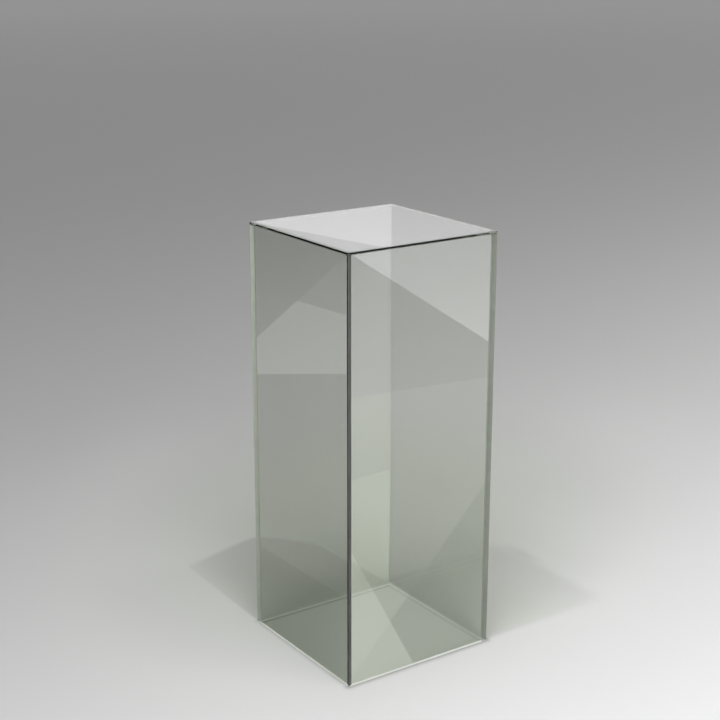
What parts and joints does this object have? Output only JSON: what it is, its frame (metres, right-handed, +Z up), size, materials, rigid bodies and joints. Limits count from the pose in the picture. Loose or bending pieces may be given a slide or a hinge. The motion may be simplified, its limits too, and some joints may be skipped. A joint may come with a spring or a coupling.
{
  "type": "acrylic display plinth",
  "caption": "Tall square display plinth of clear green-tinted acrylic sheet, mitred and cemented into a box that is open underneath, with a flat top to show an object on.",
  "frame": {"origin": "centre of the square footprint, on the floor", "axes": "+Z up, +X to the right along the front wall, -Y out of the front wall"},
  "size_m": [0.4, 0.4, 1],
  "materials": {
    "clear_acrylic": "clear cast acrylic sheet with a faint green tint, polished faces and edges",
    "acrylic_cement": "cured clear acrylic cement, slightly milky and greener than the sheet"
  },
  "bodies": {
    "root": {"front_wall_panel": "clear_acrylic", "right_wall_panel": "clear_acrylic", "back_wall_panel": "clear_acrylic", "left_wall_panel": "clear_acrylic", "top_panel": "clear_acrylic", "front_right_corner_bond": "acrylic_cement", "back_right_corner_bond": "acrylic_cement", "back_left_corner_bond": "acrylic_cement", "front_left_corner_bond": "acrylic_cement", "front_top_bond": "acrylic_cement", "right_top_bond": "acrylic_cement", "back_top_bond": "acrylic_cement", "left_top_bond": "acrylic_cement"}
  },
  "joints": []
}
